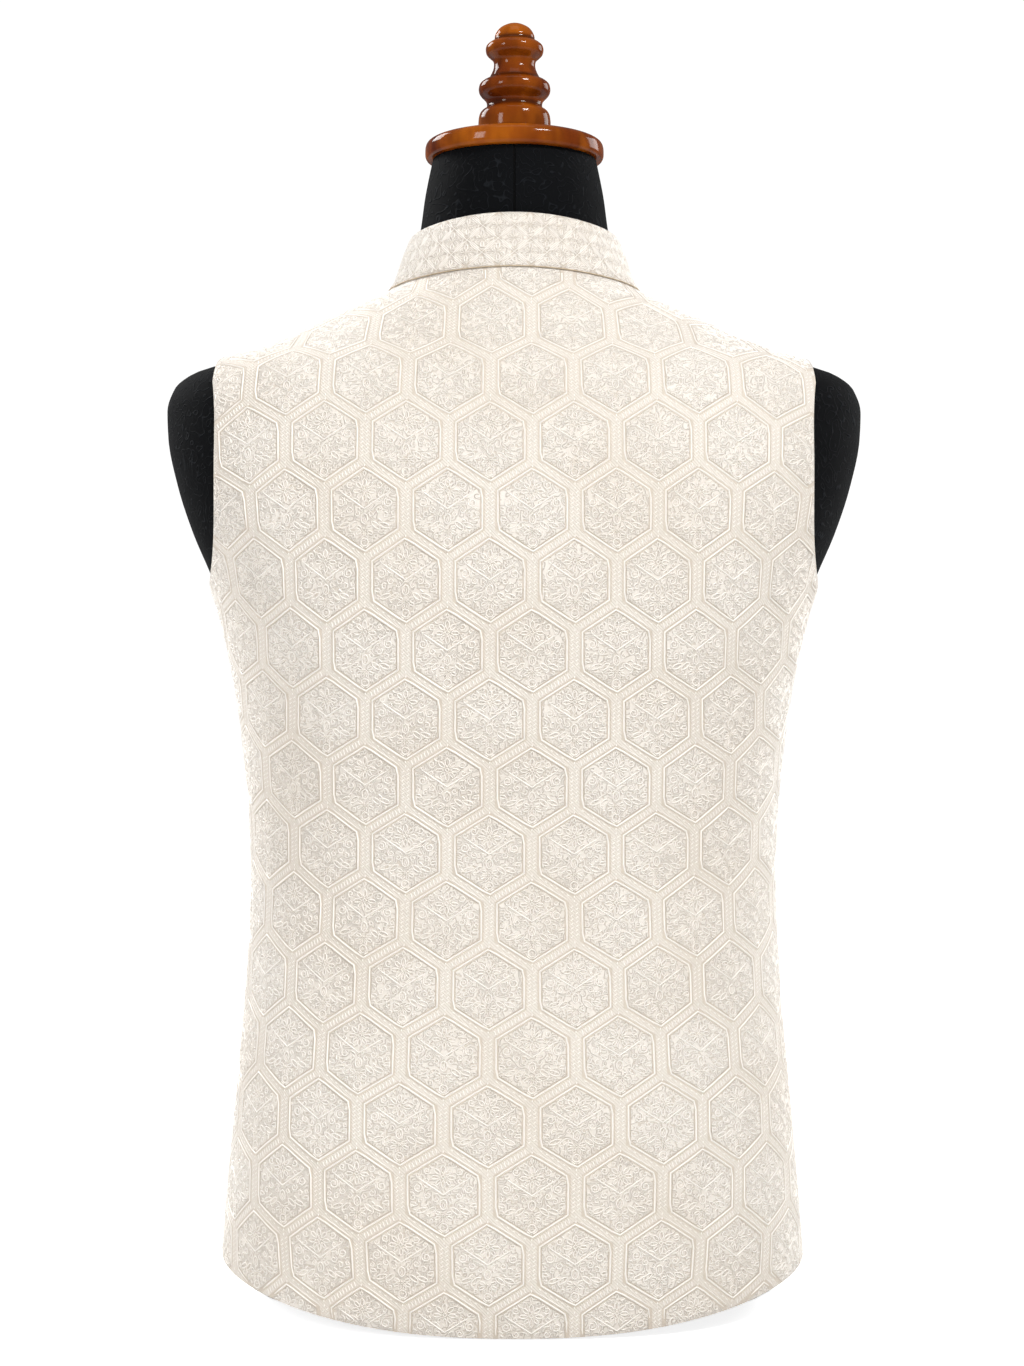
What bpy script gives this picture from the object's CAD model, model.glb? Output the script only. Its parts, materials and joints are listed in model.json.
# %% [markdown]
# # A brocade waistcoat on a dress form
#
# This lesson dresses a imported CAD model. The CAD pieces say where everything is and how big it is.
# Here each of them is replaced by a finer piece of the same size, and gets a finish of its own:
# ivory brocade with a raised hexagon and flower pattern, black jersey, lacquered wood and ivory resin.
# The frame is loaded first, and its box is kept so that the finished model can be compared with it.

import json
import math

import bpy
import numpy as np
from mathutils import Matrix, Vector

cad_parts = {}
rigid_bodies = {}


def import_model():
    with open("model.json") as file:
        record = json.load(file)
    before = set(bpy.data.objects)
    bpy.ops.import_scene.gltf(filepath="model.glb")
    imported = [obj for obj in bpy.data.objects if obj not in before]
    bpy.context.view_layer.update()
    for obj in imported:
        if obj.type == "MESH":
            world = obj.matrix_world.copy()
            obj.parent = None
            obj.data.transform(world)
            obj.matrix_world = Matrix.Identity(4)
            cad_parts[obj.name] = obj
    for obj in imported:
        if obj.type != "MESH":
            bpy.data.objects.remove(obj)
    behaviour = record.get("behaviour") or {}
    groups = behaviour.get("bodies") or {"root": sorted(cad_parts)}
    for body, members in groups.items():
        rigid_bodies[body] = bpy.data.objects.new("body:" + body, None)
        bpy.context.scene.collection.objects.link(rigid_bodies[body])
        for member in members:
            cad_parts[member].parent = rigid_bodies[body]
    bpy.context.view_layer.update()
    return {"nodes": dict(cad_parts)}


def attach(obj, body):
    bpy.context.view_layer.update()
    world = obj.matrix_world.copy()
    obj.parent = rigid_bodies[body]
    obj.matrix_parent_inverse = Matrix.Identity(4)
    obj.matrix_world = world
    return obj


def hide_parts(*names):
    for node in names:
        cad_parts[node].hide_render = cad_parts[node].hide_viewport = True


bpy.ops.object.select_all(action="SELECT")
bpy.ops.object.delete()
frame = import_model()
bpy.ops.object.select_all(action="DESELECT")
print("CAD nodes:", sorted(frame["nodes"]))

# %% [markdown]
# ## The sizes
#
# The cloth lies on a dress form, so everything starts from the form's horizontal sections. Each one is
# a superellipse: power 2 is an ellipse, and a higher power is squarer. The table and the sizes are in
# millimetres, because that is how a tailor measures, and one factor turns them into metres.

# %% Sizes of the form and the garment
MM = 0.001

# height, half width, back, front, power
FORM_SECTIONS = np.array([
    (0, 186, 112, -112, 2.3), (70, 180.4, 117, -115, 2.3), (140, 174.2, 114, -115, 2.25),
    (200, 169.3, 106.5, -112, 2.2), (270, 166.1, 101.5, -109, 2.2), (310, 167.2, 103.5, -110, 2.2),
    (350, 170.8, 108.5, -113, 2.25), (390, 176.2, 114, -117, 2.3), (420, 182.4, 118, -119.5, 2.35),
    (445, 188.2, 120.5, -120, 2.4), (465, 195.3, 121.5, -119.5, 2.4), (495, 208, 121, -116, 2.4),
    (525, 217.7, 117.5, -110, 2.4), (555, 223.8, 111, -101, 2.35), (573, 224.6, 105.5, -94.5, 2.3),
    (587.5, 220, 100, -88.5, 2.25), (596, 210, 96, -84, 2.2), (601.1, 196, 93, -81, 2.15),
    (607.8, 171.2, 88, -76, 2.1), (615.6, 151, 84.5, -72.5, 2.05), (623.6, 132.7, 81, -69.5, 2),
    (631.5, 115, 77.8, -67, 2), (639.2, 98, 74.5, -64.5, 2), (646.9, 81.7, 71, -62.5, 2),
    (653.5, 74.3, 68.6, -61.4, 2), (663.5, 69.8, 66, -60.4, 2), (675, 66.2, 63.6, -59.8, 2),
    (690, 61.6, 61.2, -59.2, 2), (714, 58.2, 58.8, -58.2, 2), (738.2, 53.4, 53.6, -53.6, 2),
]) * (MM, MM, MM, MM, 1)

WALL = 2 * MM                 # a panel
COLLAR_WALL = 3 * MM          # the collar, folded double and stiffened
SEAM_GAP = 0.04 * MM          # the seams are pressed shut
CHEST_EASE, SKIRT_EASE = 1.5 * MM, 2.6 * MM
EASE_BOTTOM, EASE_TOP = 300 * MM, 430 * MM
HEM_SIDE, HEM_DROP = 29.3 * MM, 28.4 * MM
SIDE_SEAM_Y = -8 * MM
LAP = 10 * MM
LAP_RISE_START, LAP_RISE_END = 14 * MM, 32 * MM
ARMPIT, ARMHOLE_WAIST, CAP_BASE = 459.5 * MM, 531 * MM, 585 * MM
SHOULDER_TIP_X = 186 * MM
NECK_X, NECK_SIDE = 79.2 * MM, 648.7 * MM
NECK_BACK_RISE, NECK_FRONT_DROP, NECK_FRONT_CURVE = 8.6 * MM, 46.7 * MM, 1.4
BASE_CORNER, BASE_CORNER_STRETCH = 32 * MM, 1.75
BACK, FRONT = 1, -1
ARMHOLE_CURVE = 4
ARMHOLE = {BACK: (184.5 * MM, 8.5 * MM), FRONT: (175 * MM, 17.8 * MM)}   # x at its waist, its spread
print("sections of the form:", len(FORM_SECTIONS), "and the cloth's thickness in mm:", WALL / MM)

# %% [markdown]
# ## The form's surface as functions
#
# Every point of the cloth is a point of the form, moved outwards. NumPy works on whole arrays at
# once, so these functions take arrays of heights and turns and give arrays of points. The turn goes
# anticlockwise seen from above: 0 at the wearer's left, a quarter turn at the back.

# %% The form's surface
def mix(low, high, share):
    return low + (high - low) * share


def smooth_step(low, high, value):
    share = np.clip((value - low) / (high - low), 0, 1)
    return share * share * (3 - 2 * share)


def signed_power(value, power):
    return np.sign(value) * np.abs(value) ** power


def smooth_column(column, z):
    """A column of the sections' table at height z, on a smooth curve that never overshoots."""
    heights, values = FORM_SECTIONS[:, 0], FORM_SECTIONS[:, column]
    steps = np.diff(values) / np.diff(heights)
    slopes = np.concatenate([steps[:1], np.zeros(len(steps) - 1), steps[-1:]])
    before, after = steps[:-1], steps[1:]
    same = before * after > 0
    slopes[1:-1][same] = (2 * before * after)[same] / (before + after)[same]
    i = np.clip(np.searchsorted(heights, z) - 1, 0, len(steps) - 1)
    span = heights[i + 1] - heights[i]
    t = (z - heights[i]) / span
    bend = span * (slopes[i] * t * (1 - t) ** 2 - slopes[i + 1] * t * t * (1 - t))
    return values[i] + bend + (values[i + 1] - values[i]) * t * t * (3 - 2 * t)


def section(z):
    """Half width, half depth, centre and power at height z."""
    back, front = smooth_column(2, z), smooth_column(3, z)
    return smooth_column(1, z), (back - front) / 2, (back + front) / 2, smooth_column(4, z)


def form_point(turn, z, inset=0.0):
    half_width, half_depth, centre, power = section(z)
    x = (half_width - inset * BASE_CORNER_STRETCH) * signed_power(np.cos(turn), 2 / power)
    y = centre + (half_depth - inset) * signed_power(np.sin(turn), 2 / power)
    return np.stack([x, y, z + 0 * x], axis=-1)


def turn_at_x(x, z, facing):
    half_width, _, _, power = section(z)
    return facing * np.arccos(signed_power(np.clip(x / half_width, -1, 1), power / 2))


def turn_at_y(y, z):
    _, half_depth, centre, power = section(z)
    return np.arcsin(signed_power((y - centre) / half_depth, power / 2))


def form_normal(points, step=0.5 * MM):
    """The outward direction of the form's surface at its points."""
    x, y, z = points[..., 0], points[..., 1], points[..., 2]

    def level(height):
        half_width, half_depth, centre, power = section(height)
        return np.abs(x / half_width) ** power + np.abs((y - centre) / half_depth) ** power

    half_width, half_depth, centre, power = section(z)
    across = power * signed_power(x / half_width, power - 1) / half_width
    along = power * signed_power((y - centre) / half_depth, power - 1) / half_depth
    slope = (level(z + step) - level(z - step)) / (2 * step)
    normal = np.stack([across, along, slope], axis=-1)
    return normal / np.linalg.norm(normal, axis=-1, keepdims=True)


def ease(z):
    """The air between the form and the cloth."""
    return mix(SKIRT_EASE, CHEST_EASE, smooth_step(EASE_BOTTOM, EASE_TOP, z))


WAIST_HEIGHT = 270 * MM
waist = form_point(np.array([0.0, math.pi / 2]), np.full(2, WAIST_HEIGHT))
print("half width and depth of the waist in mm:", np.round([waist[0, 0] / MM, waist[1, 1] / MM], 1))

# %% [markdown]
# ## Where the panels run
#
# A maker cuts a back and two fronts. Their edges are lines on the form: the hem, which hangs lower at
# the centre than at the side seams, the armholes, the neckline and the shoulder ridge. Each line is a
# short formula, so that it can be asked for as many points as a fine piece of cloth needs.

# %% The panels' edges
RIDGE_STEPS = 4000


def hem_height(turn):
    depth_share = np.abs(np.sin(turn)) ** (2 / section(np.array(HEM_SIDE))[3])
    return HEM_SIDE - HEM_DROP * depth_share ** 2


def armhole_x(z, facing):
    waist_x, spread = ARMHOLE[facing]
    return waist_x + spread * ((z - ARMHOLE_WAIST) / (ARMHOLE_WAIST - ARMPIT)) ** ARMHOLE_CURVE


def neckline_height(x, facing):
    share = np.minimum(np.abs(x) / NECK_X, 1)
    if facing == BACK:
        return NECK_SIDE + NECK_BACK_RISE * (1 - share ** 2)
    return NECK_SIDE - NECK_FRONT_DROP * (1 - share ** 2) ** (NECK_FRONT_CURVE / 2)


def ridge_height(x):
    """Height of the shoulder ridge at x, where the section is just x wide."""
    heights = np.linspace(CAP_BASE, NECK_SIDE, RIDGE_STEPS)
    return np.interp(-x, -smooth_column(1, heights), heights)


centre_hem, side_hem = hem_height(np.array([math.pi / 2, 0.0])) / MM
print(f"the hem is {centre_hem:.1f} mm high at the centre and {side_hem:.1f} mm at the sides")

# %% [markdown]
# ## The panels as grids
#
# Each panel is a grid of points: its rows go from the hem up to the neckline and the shoulder seam,
# and its columns from the centre line out to the side seam and the armhole. The same functions as in
# the CAD source give the points, only closer together, so the finer cloth lies where the plain one
# does. Below the armpit the columns drift outwards early, so that none of them has a kink there.

# %% Panel grids
SKIRT_ROWS = [0, 0.07, 0.17, 0.29, 0.42, 0.54, 0.66, 0.78, 0.89, 1]
ARMHOLE_ROWS_LOW, ARMHOLE_ROWS_HIGH, CAP_ROWS, SHOULDER_COLUMNS = 8, 3, 7, 7
ARMHOLE_ROW_BIAS, ARMHOLE_ROW_TILT = 2.2, 2.5
CAP_CROWD, CAP_CROWD_POWER = 1.1, 6
NECK_DEGREES = {
    BACK: [0, 13, 26, 39, 52, 65, 78, 90],
    FRONT: [0.75, 3.5, 7.5, 12, 23, 34, 45, 57, 68, 77, 83, 87, 89, 90],
}
FINER = {BACK: 4, FRONT: 3}       # new columns for each column of the CAD panel
FINER_ROWS = 4
LEVEL_STEPS = 100
COLUMNS_SHIFT = 150 * MM          # this far below the armpit, columns begin to leave the side seam


def finer(values, times):
    """The list again, with evenly spaced values put between each two."""
    places = np.linspace(0, len(values) - 1, (len(values) - 1) * times + 1)
    return np.interp(places, np.arange(len(values)), values)


def turn_at_share(facing, share, z):
    """The turn at a share of the way along level z, from the centre edge to the side."""
    start = turn_at_x(0.0 if facing == BACK else -LAP, z, facing)
    side = turn_at_y(SIDE_SEAM_Y + facing * SEAM_GAP / 2, np.minimum(z, ARMPIT))
    armhole = turn_at_x(armhole_x(np.maximum(z, ARMPIT), facing), np.maximum(z, ARMPIT), facing)
    coming = smooth_step(ARMPIT - COLUMNS_SHIFT, ARMPIT, z) * (share < 1)
    end = np.where(z > ARMPIT, armhole, mix(side, armhole, coming))
    turns = mix(start[..., None], end[..., None], np.linspace(0, 1, LEVEL_STEPS + 1))
    points = form_point(turns, z[..., None])
    steps = np.linalg.norm(np.diff(points, axis=-2), axis=-1)
    lengths = np.concatenate([np.zeros_like(steps[..., :1]), np.cumsum(steps, axis=-1)], axis=-1)
    target = share * lengths[..., -1]
    i = np.clip((lengths < target[..., None]).sum(-1), 1, LEVEL_STEPS)
    low = np.take_along_axis(lengths, i[..., None] - 1, -1)[..., 0]
    high = np.take_along_axis(lengths, i[..., None], -1)[..., 0]
    return mix(start, end, (i - 1 + (target - low) / (high - low)) / LEVEL_STEPS)


def column_places(facing, end_x):
    """Distances from the centre line at which the columns end at the top."""
    neck = NECK_X * np.sin(np.radians(finer(NECK_DEGREES[facing], FINER[facing])))
    if facing == FRONT:
        neck = np.concatenate([finer([-LAP, neck[0]], FINER[facing])[:-1], neck])
    shoulder = np.linspace(NECK_X, end_x, SHOULDER_COLUMNS * FINER[facing] + 1)[1:]
    return np.concatenate([neck, shoulder])


def half_panel(facing):
    """Points on the form for one half of the back, or for the wearer's left front."""
    places = column_places(facing, armhole_x(CAP_BASE, facing))
    base = form_point(turn_at_x(places, CAP_BASE, facing), np.full(len(places), CAP_BASE))
    lengths = np.concatenate([[0], np.cumsum(np.linalg.norm(np.diff(base, axis=0), axis=1))])
    shares = lengths / lengths[-1]
    rises = finer(SKIRT_ROWS, FINER_ROWS)[:, None]
    hem = hem_height(turn_at_share(facing, shares, np.full(len(shares), HEM_SIDE)))
    skirt_z = mix(hem, ARMPIT, rises)
    rows = [form_point(turn_at_share(facing, shares + 0 * skirt_z, skirt_z), skirt_z)]
    low = [mix(ARMPIT, ARMHOLE_WAIST, (k / ARMHOLE_ROWS_LOW) ** ARMHOLE_ROW_BIAS)
           for k in range(ARMHOLE_ROWS_LOW + 1)]
    high = [mix(ARMHOLE_WAIST, CAP_BASE, k / ARMHOLE_ROWS_HIGH)
            for k in range(1, ARMHOLE_ROWS_HIGH + 1)]
    edge = finer(low + high, FINER_ROWS)[1:, None]
    even = np.linspace(ARMPIT, CAP_BASE, len(edge) + 1)[1:, None]
    side_z = mix(even, edge, shares ** ARMHOLE_ROW_TILT)
    rows.append(form_point(turn_at_share(facing, shares + 0 * side_z, side_z), side_z))
    tops = column_places(facing, SHOULDER_TIP_X)
    on_shoulder = tops >= NECK_X - 1e-6
    end = np.where(on_shoulder, ridge_height(tops), neckline_height(tops, facing))
    crowd = 1 + CAP_CROWD * np.minimum(np.abs(tops) / smooth_column(1, end), 1) ** CAP_CROWD_POWER
    share = np.linspace(0, 1, CAP_ROWS * FINER_ROWS + 1)[1:, None]
    cap_z = end - (end - CAP_BASE) * (1 - share) ** crowd
    cap_x = mix(rows[-1][-1, :, 0], tops, share)
    cap = form_point(turn_at_x(cap_x, cap_z, facing), cap_z)
    ridge = np.stack([smooth_column(1, end), section(end)[2], end], axis=-1)
    cap[-1][on_shoulder] = ridge[on_shoulder]
    rows.append(cap)
    return np.concatenate(rows), on_shoulder


def mirrored(rows):
    return rows[:, ::-1] * (-1, 1, 1)


back_half, back_on_shoulder = half_panel(BACK)
front_half, front_on_shoulder = half_panel(FRONT)
print("points in half a back:", back_half.shape[:2], "and in a front:", front_half.shape[:2])

# %% [markdown]
# ## The studio
#
# The photograph is a shop picture: white all round, soft light from all sides, the back square to the
# camera. A pale world gives the even light. Two lamps behind, the stronger one high on the wearer's
# right, draw the relief of the cloth and the highlights on the lacquer, and two large ones light the
# front. The paper roll and the floor are white to the camera alone, as if they were lit on their own,
# because light that came from all that white would flatten the relief. The camera stands level behind
# the waistcoat. It leans by a fraction of a degree, as the photographer's did.

# %% Camera, lamps and floor
CAMERA_ASIDE, CAMERA_DISTANCE, CAMERA_HEIGHT = 0.001, 1.62, 0.398
CAMERA_LENS, CAMERA_SENSOR = 65.4, 36
CAMERA_LEAN = math.radians(-0.1)
LOOK_AT = Vector((0, 0, 0.45))
FLOOR_SIZE, FLOOR_BELOW = 24, 0.5 * MM
SKY_LIGHT, SKY_SEEN = 0.3, 1.05       # the paper roll behind is lit on its own, for the camera

# name, place, width, height, power in watts
LAMPS = [
    ("back_key", (-1.15, 1.35, 2.15), 0.6, 0.35, 41),
    ("back_fill", (1.6, 1.6, 1.3), 0.5, 0.8, 19),
    ("front_key", (1.9, -1.3, 2.0), 1.0, 1.0, 50),
    ("front_fill", (-2.0, -1.3, 1.3), 1.0, 1.0, 22),
    ("top", (0.0, 0.3, 2.6), 1.0, 1.0, 4),
]

scene = bpy.context.scene
scene.view_settings.view_transform = "Standard"

bpy.ops.object.camera_add(
    location=(CAMERA_ASIDE, CAMERA_DISTANCE, CAMERA_HEIGHT),
    rotation=(math.pi / 2, CAMERA_LEAN, math.pi))
camera = bpy.context.active_object
camera.data.lens = CAMERA_LENS
camera.data.sensor_width = CAMERA_SENSOR
scene.camera = camera

for name, place, width, height, power in LAMPS:
    bpy.ops.object.light_add(type="AREA", location=place)
    lamp = bpy.context.active_object
    lamp.name = name
    lamp.rotation_euler = (LOOK_AT - Vector(place)).to_track_quat("-Z", "Y").to_euler()
    lamp.data.shape = "RECTANGLE"
    lamp.data.size, lamp.data.size_y = width, height
    lamp.data.energy = power

world = bpy.data.worlds.new("studio")
scene.world = world
world.use_nodes = True
studio, sky = world.node_tree, world.node_tree.nodes["Background"]
sky.inputs["Color"].default_value = (1, 1, 1, 1)
seen = studio.nodes.new("ShaderNodeLightPath").outputs["Is Camera Ray"]
strength = studio.nodes.new("ShaderNodeMapRange")
strength.inputs["To Min"].default_value = SKY_LIGHT
strength.inputs["To Max"].default_value = SKY_SEEN
studio.links.new(seen, strength.inputs["Value"])
studio.links.new(strength.outputs["Result"], sky.inputs["Strength"])

bpy.ops.mesh.primitive_plane_add(size=FLOOR_SIZE, location=(0, 0, -FLOOR_BELOW))
floor = bpy.context.active_object
floor.name = "floor"
print("lamps:", len(LAMPS))

# %% [markdown]
# ## A small language for materials
#
# A material is a graph of nodes. Two short classes let Python write it: a Wire is a value inside the
# graph, and arithmetic on it adds Math nodes, while a Finish is the material itself, with one method
# that adds any other node. Values that are the same all over go straight onto the shader's sockets.

# %% Wires and finishes
class Wire:
    """A value inside a material. Python's operators on it add Math nodes."""

    def __init__(self, finish, socket):
        self.finish, self.socket = finish, socket

    def math(self, operation, *others):
        return self.finish.node("Math", {"operation": operation}, (self, *others))

    def __add__(self, other):
        return self.math("ADD", other)

    def __mul__(self, other):
        return self.math("MULTIPLY", other)

    __radd__, __rmul__ = __add__, __mul__

    def __sub__(self, other):
        return self.math("SUBTRACT", other)

    def __rsub__(self, other):
        return self.finish.node("Math", {"operation": "SUBTRACT"}, (other, self))

    def __truediv__(self, other):
        return self.math("DIVIDE", other)

    def __abs__(self):
        return self.math("ABSOLUTE")

    def smooth(self, low, high):
        """0 below low, 1 above high and a soft step between them. Low may be the higher one."""
        values = {"Value": self, "From Min": low, "From Max": high}
        return self.finish.node("MapRange", {"interpolation_type": "SMOOTHSTEP"}, values)


class Finish:
    """A material being made, with its constant values on the shader's own sockets."""

    def __init__(self, name, **constants):
        self.material = bpy.data.materials.new(name)
        self.material.use_nodes = True
        self.tree = self.material.node_tree
        self.shader = self.tree.nodes["Principled BSDF"]
        for label, value in constants.items():
            self.join(value, self.shader.inputs[label.replace("_", " ")])

    def join(self, value, socket):
        if isinstance(value, Wire):
            self.tree.links.new(value.socket, socket)
        elif hasattr(value, "__len__") and len(value) < len(socket.default_value):
            socket.default_value = (*value, 1)
        else:
            socket.default_value = value

    def node(self, kind, settings=None, values=(), outlet=0):
        node = self.tree.nodes.new("ShaderNode" + kind)
        for label, value in (settings or {}).items():
            setattr(node, label, value)
        for label, value in values.items() if isinstance(values, dict) else enumerate(values):
            self.join(value, node.inputs[label])
        return Wire(self, node.outputs[outlet])

    def mix(self, share, low, high):
        """A colour between two others."""
        return self.node("Mix", {"data_type": "RGBA"}, {0: share, 6: low, 7: high}, outlet=2)

    def place(self):
        return self.node("TexCoord", outlet="Object")

    def axis(self, place, number):
        """One of a place's three numbers."""
        return self.node("SeparateXYZ", None, (place,), number)

    def cloth_place(self):
        """A place on the flat cloth in metres, and how far across and up that is."""
        flat = self.node("UVMap", {"uv_map": "cloth"})
        return flat, self.axis(flat, 0), self.axis(flat, 1)

    def noise(self, place, scale, detail=2.0, stretch=(1, 1, 1)):
        if stretch != (1, 1, 1):
            place = self.node("Mapping", None, {"Vector": place, "Scale": stretch})
        return self.node("TexNoise", None, {"Vector": place, "Scale": scale, "Detail": detail})

    def bump(self, height, distance, under=None):
        """Relief of height 0 to 1 that is a distance deep, on top of another relief."""
        values = {"Height": height, "Distance": distance}
        if under is not None:
            values["Normal"] = under
        return self.node("Bump", None, values)

    def finished(self, **wires):
        """Gives the shader's sockets what varies over the surface."""
        for label, wire in wires.items():
            self.join(wire, self.shader.inputs[label.replace("_", " ")])
        return self

    def put_on(self, piece):
        piece.data.materials.clear()
        piece.data.materials.append(self.material)
        return piece


paper = Finish("lit white paper", Roughness=0.9, Emission_Strength=0.85)
lit = paper.node("LightPath")
grain = paper.noise(paper.place(), 3.0)
paper.finished(Base_Color=paper.mix(grain, (0.92, 0.92, 0.92), (0.95, 0.95, 0.95)),
               Emission_Color=paper.mix(lit, (0, 0, 0), (1, 1, 1))).put_on(floor)
print("nodes in the paper's finish:", len(paper.tree.nodes))

# %% [markdown]
# ## The brocade
#
# The cloth is woven in one colour. Its pattern shows only because raised satin lines catch the light
# and throw a little shade at their feet. The pattern is a lattice of pointed hexagons with a channel
# between them, so the ground's material first finds how far each point of the flat cloth lies from
# the nearest hexagon. The collar has a finer cloth, whose lines cross in diamonds. Inside the
# hexagons the ground crinkles into little worms, which are the contour lines of a noise, and in the
# channels it is a plain rib. The raised lines are made as real relief later. Their points know
# whether they are on the crest or at the foot, and the foot gets the darker colour.

# %% The lattice and the cloth's two finishes
PITCH = 51.9 * MM                # from hexagon to hexagon in a row
ROW_PITCH = 42.4 * MM            # from row to row, each shifted by half a pitch
HEX_HALF_WIDTH = 21.2 * MM       # to the middle of a hexagon's raised line
HEX_HALF_HEIGHT = 25.3 * MM
HEX_SIDE = 11.6 * MM             # half of its upright side
HEX_SLOPE = math.atan2(HEX_HALF_HEIGHT - HEX_SIDE, HEX_HALF_WIDTH)
LATTICE_ORIGIN = (-14.6 * MM, 375.6 * MM)   # a hexagon's centre on the back, across and up
THREAD = 0.45 * MM
DIAMOND_WIDTH, DIAMOND_HEIGHT = 20.4 * MM, 17.6 * MM
DIAMOND_DEPTH = 26 * MM          # what half a diamond counts as, in the distance to its line
RIB_PITCH = 2.1 * MM             # of the slanted rib in the channels
SHADE_MIDDLE, SHADE_EDGE, SHADE_CORE = 1.05 * MM, 0.75 * MM, 0.15 * MM   # dark lines along a ridge
WORM_SCALE, WORM_TURNS, WORM_DEPTH = 150.0, 9.0, 0.5 * MM
WEAVE_DEPTH, SATIN_DEPTH = 0.03 * MM, 0.04 * MM

GROUND, GROUND_DEEP = (0.86, 0.81, 0.745), (0.655, 0.575, 0.485)
RAISED, RAISED_WARM, RAISED_FOOT = (0.93, 0.895, 0.845), (0.92, 0.875, 0.815), (0.63, 0.55, 0.46)


def nearest_hexagon(finish, x, y):
    """How far outside the nearest hexagon's line a point of the cloth is, less than 0 inside it."""
    near = None
    for shift in (0, 1):
        across = (x - shift * PITCH / 2) / PITCH
        up = (y - shift * ROW_PITCH) / (2 * ROW_PITCH)
        across = abs(across - across.math("ROUND")) * PITCH
        up = abs(up - up.math("ROUND")) * (2 * ROW_PITCH)
        slanted = across * math.sin(HEX_SLOPE) + (up - HEX_HALF_HEIGHT) * math.cos(HEX_SLOPE)
        outside = (across - HEX_HALF_WIDTH).math("MAXIMUM", slanted)
        near = outside if near is None else near.math("MINIMUM", outside)
    return near


def nearest_diamond(finish, x, y):
    """The same for the collar's cloth, whose lines cross in diamonds. It is never outside them."""
    across, up = x / DIAMOND_WIDTH, y / DIAMOND_HEIGHT
    across, up = abs(across - across.math("ROUND")), abs(up - up.math("ROUND"))
    return abs(across + up - 0.5) * (-DIAMOND_DEPTH)


def cloth_patches(finish, flat):
    """Large soft patches of slightly warmer cloth, the same in all the brocade's finishes."""
    return finish.noise(flat, 11.0, 1.5).smooth(0.35, 0.7)


def ground_brocade(name, nearest, origin=(0, 0)):
    """The cloth itself, with the distance to the nearest raised line of its own lattice."""
    cloth = Finish(name, Roughness=0.58, Sheen_Weight=0.25, Sheen_Roughness=0.45,
                   Specular_IOR_Level=0.4)
    flat, x, y = cloth.cloth_place()
    outside = nearest(cloth, x - origin[0], y - origin[1])
    inside = outside.smooth(-0.6 * MM, -1.6 * MM)
    channel = outside.smooth(0.7 * MM, 1.3 * MM)
    worms = (cloth.noise(flat, WORM_SCALE, 1.0) * WORM_TURNS).math("PINGPONG", 0.5) * 2.0
    rib = ((x + y) * (math.tau / RIB_PITCH)).math("SINE") * 0.5 + 0.5
    weave = (x * (math.tau / THREAD)).math("SINE") * (y * (math.tau / THREAD)).math("SINE")
    height = worms.smooth(0.0, 0.5) * inside + rib * channel * 0.45
    relief = cloth.bump(height, WORM_DEPTH, cloth.bump(weave, WEAVE_DEPTH))
    beside_line = abs(abs(outside) - SHADE_MIDDLE).smooth(SHADE_EDGE, SHADE_CORE)
    shade = height * 0.7 + inside * 0.2 + channel * 0.45 + beside_line * -0.7
    colour = cloth.mix(shade, GROUND_DEEP, GROUND)
    colour = cloth.mix(cloth_patches(cloth, flat) * 0.35, colour, GROUND_DEEP)
    return cloth.finished(Base_Color=colour, Normal=relief)


def raised_brocade(name):
    """The satin of the raised lines, darker at their feet."""
    satin = Finish(name, Roughness=0.42, Sheen_Weight=0.25, Sheen_Roughness=0.4,
                   Specular_IOR_Level=0.45)
    flat, _, y = satin.cloth_place()
    crest = satin.node("Attribute", {"attribute_name": "crest"}, outlet=2).smooth(0.2, 0.55)
    threads = (y * (math.tau / THREAD)).math("SINE") * 0.5 + 0.5
    top = satin.mix(cloth_patches(satin, flat), RAISED, RAISED_WARM)
    colour = satin.mix(crest, RAISED_FOOT, top)
    return satin.finished(Base_Color=colour, Normal=satin.bump(threads, SATIN_DEPTH))


satin = raised_brocade("brocade raised")
print("hexagons:", round(PITCH / MM, 1), "x", round(ROW_PITCH / MM, 1), "mm apart")

# %% [markdown]
# ## Cloth from a grid
#
# A panel starts as Blender's grid, whose points are then moved onto the garment. While it is still
# one layer it is unwrapped with minimum stretch, as if it were peeled off and pressed flat. The
# pressed shape is then turned so that the centre line is upright, and scaled to real metres. That
# map is what the pattern follows. Solidify gives the wall its thickness, and Bevel rounds its edges
# as a folded edge is.

# %% Panels that know their flat shape
def grid_piece(name, points):
    """A sheet with a point for each of the rows and columns of an array."""
    rows, columns = points.shape[:2]
    bpy.ops.mesh.primitive_grid_add(x_subdivisions=columns - 1, y_subdivisions=rows - 1, size=1)
    piece = bpy.context.active_object
    piece.name = piece.data.name = name
    piece.data.vertices.foreach_set("co", points.astype(np.float32).ravel())
    piece.data.update()
    return piece


def read_points(mesh):
    points = np.empty(len(mesh.vertices) * 3, np.float32)
    mesh.vertices.foreach_get("co", points)
    return points.reshape(-1, 3)


def loop_corners(mesh):
    corners = np.empty(len(mesh.loops), np.int32)
    mesh.loops.foreach_get("vertex_index", corners)
    return corners


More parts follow.
